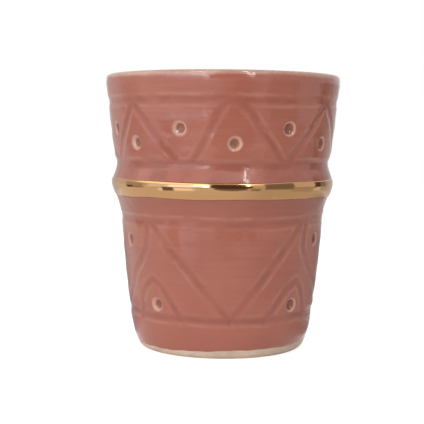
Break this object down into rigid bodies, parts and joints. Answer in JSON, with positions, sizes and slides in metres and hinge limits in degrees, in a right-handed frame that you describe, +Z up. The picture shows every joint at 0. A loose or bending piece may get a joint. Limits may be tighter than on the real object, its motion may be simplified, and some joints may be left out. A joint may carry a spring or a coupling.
{
  "type": "coffee cup",
  "caption": "Handle-less flared coffee cup of thrown clay with a cut zigzag frieze, pink glaze and a gold band on a raised ridge.",
  "frame": {"origin": "middle of the foot, on the surface that the cup stands on", "axes": "+Z up along the cup's axis from foot to rim, -Y towards the side that the picture shows"},
  "size_m": [0.069, 0.069, 0.08],
  "materials": {
    "clay": "bare fired clay, chalky and matt",
    "glaze": "glossy dusty pink glaze, paler where it thins over edges",
    "gold": "bright gold lustre, hand-brushed"
  },
  "bodies": {
    "root": {"clay_body": "clay", "outer_glaze": "glaze", "inner_glaze": "glaze", "gold_band": "gold"}
  },
  "joints": []
}
